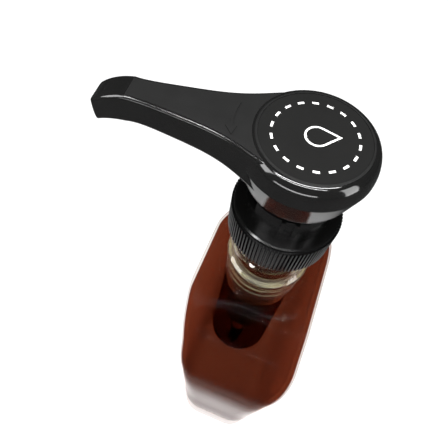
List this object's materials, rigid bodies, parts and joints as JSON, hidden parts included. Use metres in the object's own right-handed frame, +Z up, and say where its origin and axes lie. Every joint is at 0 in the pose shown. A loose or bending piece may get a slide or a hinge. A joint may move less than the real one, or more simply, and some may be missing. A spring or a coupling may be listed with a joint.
{
  "type": "pump syrup dispenser",
  "caption": "Push-pump syrup dispenser: clear rounded-rectangular bottle with a tall screw neck, knurled closure, slotted collar and round pump head with a long drooping spout.",
  "frame": {"origin": "on the pump axis, at table level, in the bottle's flat base", "axes": "+Z up along the pump axis, +X across the bottle's thin direction, on the side that the spout reaches over, +Y along the bottle's wide direction"},
  "size_m": [0.1044, 0.122, 0.253],
  "materials": {
    "clear_glass": "clear with a faint yellow-green tint",
    "syrup": "dark brown syrup, a liquid shown as a solid",
    "black_knurl": "satin black with a fine knurl",
    "black_plastic": "glossy black",
    "black_gloss": "glossy black skirt and spout sides",
    "black_satin": "satin black",
    "natural_plastic": "natural polyethylene",
    "soft_seal": "soft pale seal",
    "steel": "bright stainless steel"
  },
  "bodies": {
    "bottle": {"bottle": "clear_glass", "syrup": "syrup"},
    "pump": {"pump_housing": "black_plastic", "gasket": "soft_seal", "slotted_collar": "black_plastic", "stem_wiper": "soft_seal", "spring_seat": "natural_plastic", "ball_cage": "natural_plastic", "return_spring": "steel", "dip_tube": "natural_plastic"},
    "closure": {"closure_cap": "black_knurl"},
    "rod": {"stem": "natural_plastic", "piston": "natural_plastic", "piston_seal": "soft_seal", "ball_retainer": "natural_plastic"},
    "head": {"head_shell": "black_gloss", "top_disc": "black_satin"},
    "upper_ball": {"outlet_ball": "steel"},
    "lower_ball": {"inlet_ball": "steel"}
  },
  "joints": [
    {"name": "pump_rise", "type": "slide", "parent": "bottle", "child": "pump", "axis": [0, 0, 1], "range_m": [0, 0.01]},
    {"name": "closure_turn", "type": "hinge", "parent": "pump", "child": "closure", "pos_m": [0, 0, 0.208], "axis": [0, 0, 1], "range_deg": [0, 720]},
    {"name": "pump_stroke", "type": "slide", "parent": "pump", "child": "rod", "axis": [0, 0, -1], "range_m": [0, 0.0155], "stiffness_N_per_m": 800, "springref_m": -0.006, "deforming": ["return_spring"]},
    {"name": "head_turn", "type": "hinge", "parent": "rod", "child": "head", "pos_m": [0, 0, 0.24], "axis": [0, 0, 1], "range_deg": [0, 90]},
    {"name": "outlet_ball_lift", "type": "slide", "parent": "rod", "child": "upper_ball", "axis": [0, 0, 1], "range_m": [0, 0.0015]},
    {"name": "inlet_ball_lift", "type": "slide", "parent": "pump", "child": "lower_ball", "axis": [0, 0, 1], "range_m": [0, 0.002]}
  ],
  "couplings": [
    {"joint": "pump_rise", "follows": "closure_turn", "m_per_rad": 0.0007957}
  ]
}
